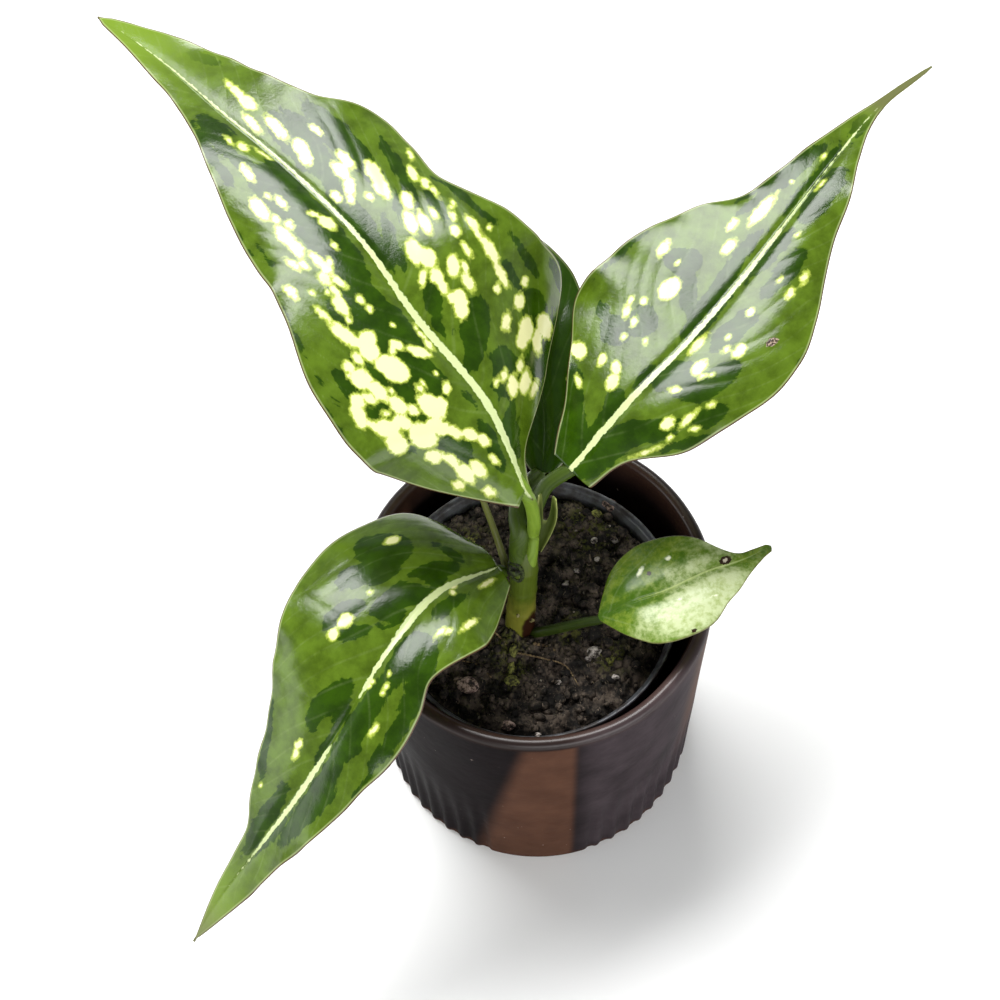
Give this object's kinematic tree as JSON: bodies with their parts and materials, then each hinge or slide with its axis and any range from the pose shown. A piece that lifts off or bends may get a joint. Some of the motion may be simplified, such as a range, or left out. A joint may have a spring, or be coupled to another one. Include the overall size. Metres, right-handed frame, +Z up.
{
  "type": "potted chinese evergreen",
  "caption": "Young Chinese evergreen with long waved, cream-spotted leaves on a short stem, in a nursery pot inside a fluted glazed cachepot.",
  "frame": {"origin": "centre of the cachepot's flat underside, on the table", "axes": "+Z up along the cachepot's axis, -Y towards the viewer of the picture, past the pot's plain front panel"},
  "size_m": [0.2094, 0.2034, 0.1613],
  "materials": {
    "glazed_ceramic": "gloss",
    "nursery_plastic": "satin",
    "potting_soil": "matte",
    "plant_stem": "satin",
    "variegated_leaf": "satin",
    "young_leaf": "satin",
    "dry_stalk": "matte"
  },
  "bodies": {
    "root": {"cachepot": "glazed_ceramic", "nursery_pot": "nursery_plastic", "soil": "potting_soil", "stem": "plant_stem", "leaf_1": "variegated_leaf", "leaf_2": "variegated_leaf", "leaf_3": "variegated_leaf", "leaf_4": "young_leaf", "leaf_5": "variegated_leaf", "old_sheath": "dry_stalk", "old_stalk": "dry_stalk"}
  },
  "joints": []
}
